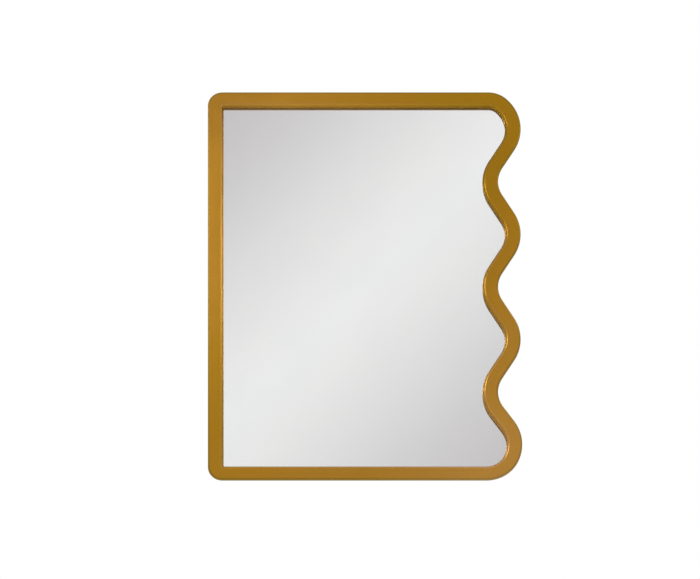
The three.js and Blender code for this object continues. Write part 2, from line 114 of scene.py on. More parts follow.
SCREW_TURN = 0.7      # radians from one screw's slot to the next one's
TURNED_SIDES = 32
WIRE_SIDES = 16

CORNER_STEPS = 16
WAVE_STEPS = 26
ROUND_STEPS = 8
ARRIS_STEPS = 4
RIM_STEPS = 8
STRAIGHT_STEP = 20 * MM
SHEET_GAP = 0.05 * MM

left_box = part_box("frame_left_stile")
wavy_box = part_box("frame_wavy_stile")
LEFT = left_box[0].x
RIGHT = -LEFT
BOTTOM = left_box[0].z
TOP = left_box[1].z
FRONT_Y = left_box[0].y
REAR_Y = left_box[1].y
LEFT_JOINT_X = left_box[1].x
RIGHT_JOINT_X = wavy_box[0].x
BAR_DEPTH = REAR_Y - FRONT_Y
LEDGE_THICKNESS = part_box("mirror_glass")[0].y - FRONT_Y - SHEET_GAP


# ---------------------------------------------------------------- outline

def solve_wave():
    """The wave that fills the height between the two right corners, as in the CAD part."""
    sine = math.sin(FLANK_ANGLE)
    cosine = math.cos(FLANK_ANGLE)
    arc_per_height = sine / (1 - cosine)
    arc_offset = WAVE_DEPTH * cosine / (1 - cosine)
    meet_top = math.sin(TOP_RIGHT_MEET)
    meet_bottom = math.sin(BOTTOM_RIGHT_MEET)
    meets = (meet_top + meet_bottom) / 2
    corners = TOP_RIGHT_RADIUS * (1 - meet_top) + BOTTOM_RIGHT_RADIUS * (1 - meet_bottom)
    height = TOP - BOTTOM - corners + (arc_offset - BAR_WIDTH) * meets
    half_wave = height / (2 * LAST_CREST + arc_per_height * meets)
    middle_radius = (arc_per_height * half_wave - arc_offset) / 2
    crest_radius = middle_radius + BAR_WIDTH / 2
    first_crest = crest_radius * meet_top + TOP_RIGHT_RADIUS * (1 - meet_top)
    return half_wave, crest_radius, middle_radius - BAR_WIDTH / 2, TOP - first_crest


HALF_WAVE, CREST_RADIUS, TROUGH_RADIUS, FIRST_CREST_Z = solve_wave()
WAVE_RIGHT = RIGHT - LAST_CREST_REACH
TROUGH_CENTRE_X = WAVE_RIGHT - WAVE_DEPTH + TROUGH_RADIUS


def crest_z(index):
    return FIRST_CREST_Z - 2 * index * HALF_WAVE


def crest_centre_x(index):
    return (RIGHT if index == LAST_CREST else WAVE_RIGHT) - CREST_RADIUS


def flank_angle(index):
    """Angle off the vertical of the straight flanks beside a crest."""
    across = TROUGH_CENTRE_X - crest_centre_x(index)
    radii = CREST_RADIUS + TROUGH_RADIUS
    return math.atan2(HALF_WAVE, across) - math.acos(radii / math.hypot(across, HALF_WAVE))


def arc(centre_x, centre_z, radius, start, end, steps):
    points = []
    for i in range(steps + 1):
        angle = start + (end - start) * i / steps
        points.append((centre_x + radius * math.cos(angle), centre_z + radius * math.sin(angle)))
    return points


def meeting_corner(index, side, radius, meet, inset):
    """Corner arc that runs into a crest arc with no kink."""
    reach = CREST_RADIUS - radius
    centre_x = crest_centre_x(index) + reach * math.cos(meet)
    centre_z = crest_z(index) + side * reach * math.sin(meet)
    start, end = (meet, math.pi / 2) if side > 0 else (-math.pi / 2, -meet)
    return arc(centre_x, centre_z, radius - inset, start, end, CORNER_STEPS)


def stretches_at(inset):
    """The outline's round stretches at an inset, anticlockwise from the lower left corner."""
    left = max(LEFT_CORNER_RADIUS - inset, SHARP_CORNER_RADIUS)
    left_x = LEFT + inset + left
    low_z = BOTTOM + inset + left
    high_z = TOP - inset - left
    stretches = [arc(left_x, low_z, left, math.pi, 1.5 * math.pi, CORNER_STEPS)]
    stretches.append(meeting_corner(LAST_CREST, -1, BOTTOM_RIGHT_RADIUS, BOTTOM_RIGHT_MEET, inset))
    for index in range(LAST_CREST, -1, -1):
        start = -BOTTOM_RIGHT_MEET if index == LAST_CREST else -flank_angle(index)
        end = flank_angle(index) if index else TOP_RIGHT_MEET
        radius = CREST_RADIUS - inset
        stretches.append(arc(crest_centre_x(index), crest_z(index), radius, start, end, WAVE_STEPS))
        if index:
            middle = crest_z(index) + HALF_WAVE
            ends = (math.pi + flank_angle(index), math.pi - flank_angle(index - 1))
            stretches.append(arc(TROUGH_CENTRE_X, middle, TROUGH_RADIUS + inset, *ends, WAVE_STEPS))
    stretches.append(meeting_corner(0, 1, TOP_RIGHT_RADIUS, TOP_RIGHT_MEET, inset))
    stretches.append(arc(left_x, high_z, left, math.pi / 2, math.pi, CORNER_STEPS))
    return stretches


def straight_steps():
    """How many steps each gap between two round stretches takes: the same at every inset."""
    outer = stretches_at(0)
    counts = []
    for here, after in zip(outer, outer[1:] + outer[:1]):
        gap = math.dist(here[-1], after[0])
        counts.append(max(0, round(gap / STRAIGHT_STEP)))
    return counts


STRAIGHTS = straight_steps()


def outline_at(inset):
    """Closed outline at a distance inside the frame's outer edge.

    It has the same stations at every inset.
    """
    stretches = stretches_at(inset)
    points = []
    for here, after, count in zip(stretches, stretches[1:] + stretches[:1], STRAIGHTS):
        points.extend(here if count else here[:-1])
        (x0, z0), (x1, z1) = here[-1], after[0]
        for i in range(1, count):
            points.append((x0 + (x1 - x0) * i / count, z0 + (z1 - z0) * i / count))
    return points


# ---------------------------------------------------------------- bar section

def quarter_turn():
    """Cosine and sine of each step of a quarter turn."""
    angles = [math.pi / 2 * i / ROUND_STEPS for i in range(ROUND_STEPS + 1)]
    return [(math.cos(angle), math.sin(angle)) for angle in angles]


def lengths_round(points):
    """Distance along a closed loop to each of its points, and all the way round."""
    lengths = [0.0]
    for here, after in zip(points, points[1:] + points[:1]):
        lengths.append(lengths[-1] + math.dist(here, after))
    return lengths


def rounded(corners):
    """A closed section from (inset, depth, radius) corners, rounded where the radius isn't 0."""
    points = []
    count = len(corners)
    for k, (x, y, radius) in enumerate(corners):
        if not radius:
            points.append((x, y))
            continue
        here = Vector((x, y))
        before = (Vector(corners[k - 1][:2]) - here).normalized()
        after = (Vector(corners[(k + 1) % count][:2]) - here).normalized()
        half = before.angle(after) / 2
        centre = here + (before + after).normalized() * (radius / math.sin(half))
        start = here + before * (radius / math.tan(half)) - centre
        end = here + after * (radius / math.tan(half)) - centre
        turn = start.angle_signed(end)
        for i in range(ARRIS_STEPS + 1):
            spoke = start.copy()
            spoke.rotate(Matrix.Rotation(-turn * i / ARRIS_STEPS, 2))
            points.append(tuple(centre + spoke))
    return points


def bar_section():
    """Section of the bar as (inset, depth behind the front), once round from the outer edge."""
    corners = [(OUTER_ROUND * (1 - c), OUTER_ROUND * (1 - s), 0) for c, s in quarter_turn()]
    rim_start = math.atan2(RIM_DROP, RIM_WIDTH) - RIM_BULGE
    rim_radius = math.hypot(RIM_WIDTH, RIM_DROP) / (2 * math.sin(RIM_BULGE))
    for i in range(RIM_STEPS + 1):
        slope = rim_start + 2 * RIM_BULGE * i / RIM_STEPS
        run = rim_radius * (math.sin(slope) - math.sin(rim_start))
        fall = rim_radius * (math.cos(rim_start) - math.cos(slope))
        radius = CREASE_RADIUS if i == 0 else RIM_EDGE_RADIUS if i == RIM_STEPS else 0
        corners.append((BAR_WIDTH - RIM_WIDTH + run, fall, radius))
    corners.append((BAR_WIDTH, LEDGE_THICKNESS, LIP_RADIUS))
    corners.append((REBATE_INSET, LEDGE_THICKNESS, 0))
    corners.append((REBATE_INSET, BAR_DEPTH, LIP_RADIUS))
    corners.append((UNDERCUT, BAR_DEPTH, REAR_EDGE_RADIUS))
    corners.append((0, OUTER_ROUND + EDGE_FLAT, REAR_EDGE_RADIUS))
    return rounded(corners)


def girth_to(inset, depth):
    """Share of the way round the section to its point nearest to (inset, depth)."""
    section = bar_section()
    around = lengths_round(section)
    nearest = min(range(len(section)), key=lambda k: math.dist(section[k], (inset, depth)))
    return around[nearest] / around[-1]


# ---------------------------------------------------------------- mesh helpers

ALONG = "along"


def new_object(name, mesh):
    piece = bpy.data.objects.new(name, mesh)
    bpy.context.scene.collection.objects.link(piece)
    return piece


def shade(mesh, sharp_degrees=38):
    mesh.shade_smooth()
    mesh.set_sharp_from_angle(angle=math.radians(sharp_degrees))


def loop_mesh():
    """The whole frame as one closed loop of the bar section.

    Its UV map holds the distance along the bar in metres and the share of the way round it.
    """
    section = bar_section()
    rings = [outline_at(inset) for inset, _ in section]
    middle = outline_at(BAR_WIDTH / 2)
    stations = len(middle)
    along = lengths_round(middle)
    around = lengths_round(section)
    girth = around[-1]

    form = bmesh.new()
    uv = form.loops.layers.uv.new(ALONG)
    verts = []
    for ring, (_, depth) in zip(rings, section):
        verts.append([form.verts.new((x, FRONT_Y + depth, z)) for x, z in ring])
    for k in range(len(section)):
        here, after = verts[k], verts[(k + 1) % len(section)]
        for j in range(stations):
            j1 = (j + 1) % stations
            face = form.faces.new((here[j], here[j1], after[j1], after[j]))
            spots = ((j, k), (j + 1, k), (j + 1, k + 1), (j, k + 1))
            for corner, (station, turn) in zip(face.loops, spots):
                corner[uv].uv = (along[station], around[turn] / girth)
    bmesh.ops.recalc_face_normals(form, faces=form.faces)
    return form


def cut(form, place, normal):
    """Keeps the side of a plane that its normal points away from, and closes the cut."""
    geometry = form.verts[:] + form.edges[:] + form.faces[:]
    result = bmesh.ops.bisect_plane(
        form, geom=geometry, plane_co=place, plane_no=normal, clear_outer=True, dist=1e-7)
    rim = [e for e in result["geom_cut"] if isinstance(e, bmesh.types.BMEdge)]
    bmesh.ops.edgeloop_fill(form, edges=rim)


def stack(rows, capped=True):
    """A solid through rows of points, each row a closed loop.

    Its ends are capped, or else joined to each other.
    """
    form = bmesh.new()
    verts = [[form.verts.new(point) for point in row] for row in rows]
    pairs = list(zip(verts, verts[1:]))
    if capped:
        form.faces.new(verts[0])
        form.faces.new(verts[-1])
    else:
        pairs.append((verts[-1], verts[0]))
    for here, after in pairs:
        for j in range(len(here)):
            j1 = (j + 1) % len(here)
            form.faces.new((here[j], here[j1], after[j1], after[j]))
    bmesh.ops.recalc_face_normals(form, faces=form.faces)
    return form


def turned(profile):
    """A solid turned about the Y axis, from (radius, height) pairs."""
    turns = [2 * math.pi * i / TURNED_SIDES for i in range(TURNED_SIDES)]
    return stack([[(r * math.cos(a), y, r * math.sin(a)) for a in turns] for r, y in profile])


def to_mesh(form, name):
    mesh = bpy.data.meshes.new(name)
    form.to_mesh(mesh)
    form.free()
    return mesh


def carved(form, cutters, name):
    """The mesh of one form with the others cut out of it."""
    if not cutters:
        return to_mesh(form, name)
    blank = new_object("blank", to_mesh(form, name))
    tools = []
    for cutter in cutters:
        tool = new_object("cutter", to_mesh(cutter, "cutter"))
        step = blank.modifiers.new("cut", "BOOLEAN")
        step.operation = "DIFFERENCE"
        step.solver = "EXACT"
        step.object = tool
        tools.append(tool)
    graph = bpy.context.evaluated_depsgraph_get()
    mesh = bpy.data.meshes.new_from_object(blank.evaluated_get(graph))
    for piece in (blank, *tools):
        bpy.data.objects.remove(piece)
    mesh.name = name
    return mesh


def drills_in(node):
    """The pilot holes and dowel holes that reach a section of the frame."""
    lowest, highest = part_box(node)
    drills = []
    for other in frame["nodes"]:
        if "screw" not in other and not other.startswith("dowel"):
            continue
        low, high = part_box(other)
        if any(low[k] > highest[k] or high[k] < lowest[k] for k in range(3)):
            continue
        middle = (low + high) / 2
        if "screw" in other:
            deep = low.y - DOWEL_GAP
            drill = turned([(HOLE_RADIUS, deep), (HOLE_RADIUS, REAR_Y + HEAD_HEIGHT)])
            move = Matrix.Translation((middle.x, 0, middle.z))
        else:
            half = (high.x - low.x) / 2 + DOWEL_GAP
            radius = (high.z - low.z) / 2 + DOWEL_GAP
            drill = turned([(radius, -half), (radius, half)])
            move = Matrix.Translation(middle) @ Matrix.Rotation(math.pi / 2, 4, "Z")
        bmesh.ops.transform(drill, matrix=move, verts=drill.verts)
        drills.append(drill)
    return drills


def frame_skins(material):
    """One lacquered piece for each section of the frame, ending at the CAD part's joints."""
    left_cut = Vector((LEFT_JOINT_X, 0, 0))
    right_cut = Vector((RIGHT_JOINT_X, 0, 0))
    middle = Vector((0, 0, 0))
    x_axis = Vector((1, 0, 0))
    z_axis = Vector((0, 0, 1))
    sections = {
        "frame_left_stile": [(left_cut, x_axis)],
        "frame_top_rail": [(left_cut, -x_axis), (right_cut, x_axis), (middle, -z_axis)],
        "frame_bottom_rail": [(left_cut, -x_axis), (right_cut, x_axis), (middle, z_axis)],
        "frame_wavy_stile": [(right_cut, -x_axis)],
    }
    for node, planes in sections.items():
        form = loop_mesh()
        for place, normal in planes:
            cut(form, place, normal)
        bmesh.ops.recalc_face_normals(form, faces=form.faces)
        mesh = carved(form, drills_in(node), f"{node}_lacquered")
        shade(mesh)
        mesh.materials.clear()
        mesh.materials.append(material)
        piece = new_object(f"{node}_lacquered", mesh)
        weighted = piece.modifiers.new("flat_faces", "WEIGHTED_NORMAL")
        weighted.keep_sharp = True
        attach(piece, "frame")
        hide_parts(node)


# ---------------------------------------------------------------- materials

def linear(red, green, blue):
    """An 8-bit display colour as the scene-linear colour that shaders take."""
    def channel(value):
        value /= 255
        return value / 12.92 if value <= 0.04045 else ((value + 0.055) / 1.055) ** 2.4
    return channel(red), channel(green), channel(blue), 1.0


class Nodes:
    """A material's node tree, with short calls for the nodes used here."""

    def __init__(self, name):
        self.material = bpy.data.materials.new(name)
        self.material.use_nodes = True
        self.tree = self.material.node_tree
        self.shader = self.tree.nodes["Principled BSDF"]

    def add(self, kind, **settings):
        node = self.tree.nodes.new(kind)
        for key, value in settings.items():
            setattr(node, key, value)
        return node

    def link(self, source, target):
        self.tree.links.new(source, target)

    def set(self, socket, value):
        self.shader.inputs[socket].default_value = value

    def coordinates(self, source, scale):
        """Object or UV coordinates in metres, scaled along each axis."""
        if source == ALONG:
            start = self.add("ShaderNodeUVMap", uv_map=ALONG).outputs["UV"]
        else:
            start = self.add("ShaderNodeTexCoord").outputs["Object"]
        mapping = self.add("ShaderNodeMapping")
        mapping.inputs["Scale"].default_value = scale
        self.link(start, mapping.inputs["Vector"])
        return mapping.outputs["Vector"]

    def noise(self, vector, scale=1.0, detail=3.0, roughness=0.5):
        node = self.add("ShaderNodeTexNoise")
        node.inputs["Scale"].default_value = scale
        node.inputs["Detail"].default_value = detail
        node.inputs["Roughness"].default_value = roughness
        self.link(vector, node.inputs["Vector"])
        return node.outputs["Fac"]

    def ramp(self, factor, *stops):
        node = self.add("ShaderNodeValToRGB")
        elements = node.color_ramp.elements
        while len(elements) < len(stops):
            elements.new(0.5)
        for element, (position, colour) in zip(elements, stops):
            element.position = position
            element.color = colour
        self.link(factor, node.inputs["Fac"])
        return node.outputs["Color"]

    def spread(self, factor, low, high):
        """Noise, mostly between 0.3 and 0.7, to a range of values."""
        node = self.add("ShaderNodeMapRange")
        node.inputs["From Min"].default_value = 0.3
        node.inputs["From Max"].default_value = 0.7
        node.inputs["To Min"].default_value = low
        node.inputs["To Max"].default_value = high
        self.link(factor, node.inputs["Value"])
        return node.outputs["Result"]

    def multiplied(self, colour, layer):
        mix = self.add("ShaderNodeMix", data_type="RGBA", blend_type="MULTIPLY")
        mix.inputs["Factor"].default_value = 1.0
        self.link(colour, mix.inputs["A"])
        self.link(layer, mix.inputs["B"])
        return mix.outputs["Result"]

    def bump(self, height, distance, strength=1.0):
        node = self.add("ShaderNodeBump")
        node.inputs["Distance"].default_value = distance
        node.inputs["Strength"].default_value = strength
        self.link(height, node.inputs["Height"])
        self.link(node.outputs["Normal"], self.shader.inputs["Normal"])

    def colour(self, output):
        self.link(output, self.shader.inputs["Base Color"])

    def rough(self, output):
        self.link(output, self.shader.inputs["Roughness"])


# The lacquer's tone by place along a slanting line, in metres, from upper left to lower right:
# its colour with painted light and shade, lighter at the line's two ends and darker in its middle.
# These tones, the patch and the tones below were tuned by comparing measured tones of the render
# and of the photograph. They hold some of the studio's light, not only the lacquer's colour.
TONE_SLANT = 0.92
TONE_START = -0.7
TONE_SPAN = 1.4
LACQUER_AND_LIGHT_TONES = (
    (-0.7, linear(181, 131, 42)),
    (-0.57, linear(193, 141, 44)),
    (-0.4, linear(185, 135, 34)),
    (-0.2, linear(175, 129, 21)),
    (0.0, linear(167, 122, 15)),
    (0.2, linear(176, 127, 26)),
    (0.45, linear(189, 138, 46)),
    (0.65, linear(200, 147, 62)),
)
# A painted pool of light low on the left stile: paler and less yellow there
PAINTED_LIGHT_CENTRE = (-0.4, -0.013, -0.22)
PAINTED_LIGHT_PATCH = ((0.2, (1.19, 1.19, 2.1, 1)), (0.45, (1, 1, 1, 1)))
# Painted shade on the outer arrises and the outer sides
PAINTED_EDGE_SHADE = (0.52, 0.62, 0.9, 1)
PLAIN_TONE = (1, 1, 1, 1)
# Painted highlight: a paler, less yellow line along the crease
PAINTED_CREASE_HIGHLIGHT = (1.1, 1.22, 2.9, 1)
# Painted shade on the rim that slopes in towards the glass
PAINTED_RIM_SHADE = (0.86, 0.87, 0.95, 1)
# Painted shade on the lip beside the glass
PAINTED_LIP_SHADE = (0.78, 0.83, 0.95, 1)
# Painted light on the ledge's back, seen in the mirror
PAINTED_LEDGE_BACK_LIGHT = (1.95, 2.0, 3.2, 1)
UNDERCOAT_TONE = (1.05, 1.12, 2.2, 1)


def gold_lacquer():
    """Satin metallic lacquer: streaks along the bar, soft clouds, and painted light and shade.

    The painted light and shade: lighter and darker along a slanting line, a pool of light low on
    the left stile, thin shade on the outer arrises and outer sides, shade on the rim and lip, and a
    highlight on the crease. A matt undercoat covers the back and the rebate. Painted light makes it
    paler on the ledge's back.
    """
    look = Nodes("gold_lacquer")
    look.set("Coat Weight", 0.12)
    look.set("Coat Roughness", 0.16)
    place = look.add("ShaderNodeSeparateXYZ")
    look.link(look.add("ShaderNodeTexCoord").outputs["Object"], place.inputs[0])
    lift = look.add("ShaderNodeMath", operation="MULTIPLY")
    look.link(place.outputs["Z"], lift.inputs[0])
    lift.inputs[1].default_value = TONE_SLANT
    across = look.add("ShaderNodeMath", operation="SUBTRACT")
    look.link(place.outputs["X"], across.inputs[0])
    look.link(lift.outputs[0], across.inputs[1])
    share = look.add("ShaderNodeMapRange")
    share.inputs["From Min"].default_value = TONE_START
    share.inputs["From Max"].default_value = TONE_START + TONE_SPAN
    look.link(across.outputs[0], share.inputs["Value"])
    # Painted light and shade along the slanting line, over the lacquer's colour
    stops = [((reach - TONE_START) / TONE_SPAN, colour) for reach, colour in LACQUER_AND_LIGHT_TONES]
    lacquer_and_light = look.ramp(share.outputs["Result"], *stops)
    # Painted pool of light: paler towards a point low on the left stile
    away = look.add("ShaderNodeVectorMath", operation="DISTANCE")
    look.link(place.inputs[0].links[0].from_socket, away.inputs[0])
    away.inputs[1].default_value = PAINTED_LIGHT_CENTRE
    painted_light_patch = look.ramp(away.outputs["Value"], *PAINTED_LIGHT_PATCH)

    girth = look.add("ShaderNodeSeparateXYZ")
    look.link(look.add("ShaderNodeUVMap", uv_map=ALONG).outputs["UV"], girth.inputs[0])
    round_end = girth_to(OUTER_ROUND, 0)
    lip = girth_to(BAR_WIDTH, LEDGE_THICKNESS)
    rebate = girth_to(REBATE_INSET, LEDGE_THICKNESS)
    rear_edge = girth_to(UNDERCUT, BAR_DEPTH)
    crease = girth_to(BAR_WIDTH - RIM_WIDTH, 0)
    # Round the section: painted shade on the outer arrises, rim and lip, a painted highlight on the
    # crease, painted light on the ledge's back, and the matt undercoat
    edges = look.ramp(
        girth.outputs["Y"],
        (0.0, PAINTED_EDGE_SHADE), (0.7 * round_end, PAINTED_EDGE_SHADE), (1.3 * round_end, PLAIN_TONE),
        (crease - 0.02, PLAIN_TONE), (crease, PAINTED_CREASE_HIGHLIGHT), (crease + 0.02, PAINTED_RIM_SHADE),
        (lip, PAINTED_LIP_SHADE),
        (lip + 0.005, PAINTED_LEDGE_BACK_LIGHT), (rebate - 0.005, PAINTED_LEDGE_BACK_LIGHT), (rebate, UNDERCOAT_TONE),
        (rear_edge, UNDERCOAT_TONE), (rear_edge + 0.01, PAINTED_EDGE_SHADE))
    metal = look.ramp(
        girth.outputs["Y"], (lip, (1, 1, 1, 1)), (lip + 0.005, (0, 0, 0, 1)),
        (rear_edge, (0, 0, 0, 1)), (rear_edge + 0.01, (1, 1, 1, 1)))
    look.link(metal, look.shader.inputs["Metallic"])

    streaks = look.noise(look.coordinates(ALONG, (3.0, 66.0, 1.0)), detail=4.0, roughness=0.6)
    clouds = look.noise(look.coordinates("object", (1, 1, 1)), scale=22.0)
    shade_of = look.ramp(streaks, (0.3, (0.93, 0.92, 0.9, 1)), (0.7, (1.05, 1.06, 1.1, 1)))
    colour = lacquer_and_light
    for layer in (painted_light_patch, edges, shade_of):
        colour = look.multiplied(colour, layer)
    look.colour(colour)
    # The crease is burnished and the rim inside it is duller
    polish = look.ramp(
        girth.outputs["Y"], (crease - 0.025, (1, 1, 1, 1)), (crease - 0.005, (0.6, 0.6, 0.6, 1)),
        (crease + 0.01, (0.6, 0.6, 0.6, 1)), (crease + 0.03, (1.35, 1.35, 1.35, 1)))
    wear = look.add("ShaderNodeMath", operation="MULTIPLY")
    look.link(look.spread(clouds, 0.33, 0.4), wear.inputs[0])
    look.link(polish, wear.inputs[1])
    look.rough(wear.outputs[0])
    look.bump(streaks, 0.02 * MM, 0.5)
    return look.material


def clear_glass():
    look = Nodes("clear_glass")
    look.set("Transmission Weight", 1.0)
    look.set("IOR", 1.52)
    look.set("Roughness", 0.0)
    haze = look.noise(look.coordinates("object", (1, 1, 1)), scale=9.0)
    look.colour(look.ramp(haze, (0.3, (0.985, 0.995, 0.99, 1)), (0.7, (0.995, 1.0, 0.997, 1))))
    return look.material


def silvering():
    look = Nodes("silvering")
    look.set("Metallic", 1.0)
    look.set("Roughness", 0.0)
    haze = look.noise(look.coordinates("object", (1, 1, 1)), scale=7.0)
    look.colour(look.ramp(haze, (0.3, (0.955, 0.957, 0.955, 1)), (0.7, (0.965, 0.966, 0.964, 1))))
    return look.material


def hardboard():
    """Pressed fibreboard: a felt of short fibres, soft blotches and sparse dark flecks."""
    look = Nodes("hardboard")
    grain = look.coordinates("object", (1, 1, 0.35))
    fibres = look.noise(grain, scale=600.0, detail=6.0, roughness=0.6)
    blotches = look.noise(look.coordinates("object", (1, 1, 1)), scale=14.0, detail=2.0)
    flecks = look.noise(look.coordinates("object", (1, 1, 0.5)), scale=520.0, detail=2.0)
    colour = look.ramp(fibres, (0.3, linear(112, 78, 48)), (0.7, linear(144, 104, 67)))
    layers = (
        look.ramp(blotches, (0.35, (0.9, 0.89, 0.87, 1)), (0.65, (1.08, 1.08, 1.08, 1))),
        look.ramp(flecks, (0.27, (0.68, 0.64, 0.58, 1)), (0.35, PLAIN_TONE)),
    )
    for layer in layers:
        colour = look.multiplied(colour, layer)
    look.colour(colour)
    look.rough(look.spread(fibres, 0.74, 0.88))
    look.bump(fibres, 0.08 * MM)
    return look.material


def plated_steel(name, low, high, roughness):
    """Plated sheet or wire: cloudy patches of two close greys under fine scratches."""
    look = Nodes(name)
    look.set("Metallic", 1.0)
    place = look.coordinates("object", (1, 1, 1))
    patches = look.noise(place, scale=260.0, detail=5.0, roughness=0.6)
    scratches = look.noise(look.coordinates("object", (9000, 9000, 600)), detail=2.0)
    colour = look.ramp(patches, (0.3, low), (0.7, high))
    worn = look.ramp(scratches, (0.3, (0.9, 0.9, 0.9, 1)), (0.6, PLAIN_TONE))
    look.colour(look.multiplied(colour, worn))
    look.rough(look.spread(patches, roughness - 0.07, roughness + 0.08))
    look.bump(scratches, 0.01 * MM, 0.4)
    return look.material


def simple(name, low, high, roughness, scale, stretch=(1, 1, 1)):
    """Two close colours mixed by noise, with roughness and bump from the same noise."""
    look = Nodes(name)
    grain = look.noise(look.coordinates("object", stretch), scale=scale, detail=6.0, roughness=0.6)
    look.colour(look.ramp(grain, (0.3, low), (0.7, high)))
    look.rough(look.spread(grain, roughness - 0.06, roughness + 0.06))
    look.bump(grain, 0.05 * MM)
    return look.material


# ---------------------------------------------------------------- studio

VIEW_ANGLE = math.radians(23.41)      # the photograph looks up at the mirror by this much
IMAGE_WIDTH = 700
PIXELS_PER_METRE = 469.27
VIEW_CENTRE = Vector((-0.03215, -0.01325, -0.0030))
CAMERA_DISTANCE = 2.4

# Brightness across the card's slanting bands, from a band's middle to halfway between two.
# Tuned to the tones that the mirror shows in the photograph.
BAND_SPACING = 2.0
BAND = (
    (0.0, linear(240, 240, 240)),
    (0.1, linear(238, 237, 237)),
    (0.3, linear(227, 225, 226)),
    (0.5, linear(212, 209, 211)),
    (0.67, linear(202, 198, 200)),
    (1.0, linear(192, 188, 191)),
)
CARD_DISTANCE = 3.0
CARD_SIZE = (9.0, 6.4)
CARD_CENTRE_Z = 1.4
FLOOR_DROP = 1.8
FLOOR_SIZE = 14.0


def build_camera():
    data = bpy.data.cameras.new("camera")
    data.type = "ORTHO"
    data.ortho_scale = IMAGE_WIDTH / PIXELS_PER_METRE
    camera = new_object("camera", data)
    look = Vector((0, math.cos(VIEW_ANGLE), math.sin(VIEW_ANGLE)))
    camera.location = VIEW_CENTRE - CAMERA_DISTANCE * look
    camera.rotation_euler = (math.pi / 2 + VIEW_ANGLE, 0, 0)
    bpy.context.scene.camera = camera


def camera_white(tree, plain, output, strength):
    """White for camera, glossy and transmission rays, and the plain shader for all others."""
    path = tree.nodes.new("ShaderNodeLightPath")
    seen = path.outputs["Is Camera Ray"]
    for ray in ("Is Glossy Ray", "Is Transmission Ray"):
        either = tree.nodes.new("ShaderNodeMath")
        either.operation = "MAXIMUM"
        tree.links.new(seen, either.inputs[0])
        tree.links.new(path.outputs[ray], either.inputs[1])
        seen = either.outputs[0]
    mix = tree.nodes.new("ShaderNodeMixShader")
    tree.links.new(seen, mix.inputs["Fac"])
    tree.links.new(plain, mix.inputs[1])
    tree.links.new(strength, mix.inputs[2])
    tree.links.new(mix.outputs[0], output.inputs["Surface"])


def build_world():
    world = bpy.data.worlds.new("studio")
    bpy.context.scene.world = world
    world.use_nodes = True
    tree = world.node_tree
    plain = tree.nodes["Background"]
    plain.inputs["Color"].default_value = (1, 1, 1, 1)
    plain.inputs["Strength"].default_value = 0.75
    white = tree.nodes.new("ShaderNodeBackground")
    white.inputs["Color"].default_value = (1, 1, 1, 1)
    white.inputs["Strength"].default_value = 1.0
    camera_white(tree, plain.outputs[0], tree.nodes["World Output"], white.outputs[0])


def flat(name, corners):
    """An object of one flat face."""
    form = bmesh.new()
    form.faces.new([form.verts.new(corner) for corner in corners])
    return new_object(name, to_mesh(form, name))


def build_card():
    """The pale card that the mirror shows: a soft bright band slants across it."""
    half_x, half_z = CARD_SIZE[0] / 2, CARD_SIZE[1] / 2
    corners = [(-half_x, -half_z), (half_x, -half_z), (half_x, half_z), (-half_x, half_z)]
    card = flat("studio_card", [(x, -CARD_DISTANCE, CARD_CENTRE_Z + z) for x, z in corners])
    card.visible_camera = False
    card.visible_shadow = False
    look = Nodes("studio_card")
    # The band's middle goes where the mirror's middle sends the photograph's line of sight
    aim_z = CARD_DISTANCE * math.tan(VIEW_ANGLE)
    place = look.add("ShaderNodeSeparateXYZ")
    look.link(look.add("ShaderNodeTexCoord").outputs["Object"], place.inputs[0])
    across = look.add("ShaderNodeMath", operation="MULTIPLY_ADD")
    look.link(place.outputs["Z"], across.inputs[0])
    across.inputs[1].default_value = -math.cos(VIEW_ANGLE)
    across.inputs[2].default_value = math.cos(VIEW_ANGLE) * aim_z
    total = look.add("ShaderNodeMath", operation="ADD")
    look.link(place.outputs["X"], total.inputs[0])
    look.link(across.outputs[0], total.inputs[1])
    fold = look.add("ShaderNodeMath", operation="PINGPONG")
    look.link(total.outputs[0], fold.inputs[0])
    fold.inputs[1].default_value = BAND_SPACING / 2
    band = look.ramp(fold.outputs[0], *BAND)
    glow = look.add("ShaderNodeEmission")
    look.link(band, glow.inputs["Color"])
    look.link(glow.outputs[0], look.tree.nodes["Material Output"].inputs["Surface"])
    card.data.materials.append(look.material)


def build_floor():
    half = FLOOR_SIZE / 2
    z = BOTTOM - (FLOOR_DROP - TOP)
    corners = [(-half, -half), (half, -half), (half, half), (-half, half)]
    floor = flat("studio_floor", [(x, y, z) for x, y in corners])
    look = Nodes("studio_floor")
    look.set("Roughness", 0.9)
    look.set("Base Color", (0.8, 0.8, 0.8, 1))
    glow = look.add("ShaderNodeEmission")
    glow.inputs["Strength"].default_value = 0.45
    both = look.add("ShaderNodeAddShader")
    look.link(look.shader.outputs[0], both.inputs[0])
    look.link(glow.outputs[0], both.inputs[1])
    output = look.tree.nodes["Material Output"]
    camera_white(look.tree, look.shader.outputs[0], output, both.outputs[0])
    floor.data.materials.append(look.material)


SOFTBOX_COLOUR = (1.0, 0.97, 0.92)


def softbox(name, place, aim, size, power):
    data = bpy.data.lights.new(name, "AREA")
    data.shape = "RECTANGLE"
    data.size, data.size_y = size
    data.energy = power
    data.color = SOFTBOX_COLOUR
    lamp = new_object(name, data)
    lamp.location = place
    lamp.visible_camera = False
    lamp.rotation_euler = (Vector(aim) - Vector(place)).to_track_quat("-Z", "Y").to_euler()
    return lamp


def build_lights():
    softbox("light_right", (0.75, -0.66, 0.59), (-0.3, 0, 0.07), (0.26, 0.3), 1.5)
    softbox("light_left", (-0.72, -0.66, 0.48), (0.3, 0, 0.1), (0.24, 0.5), 2.3)


# ---------------------------------------------------------------- fittings

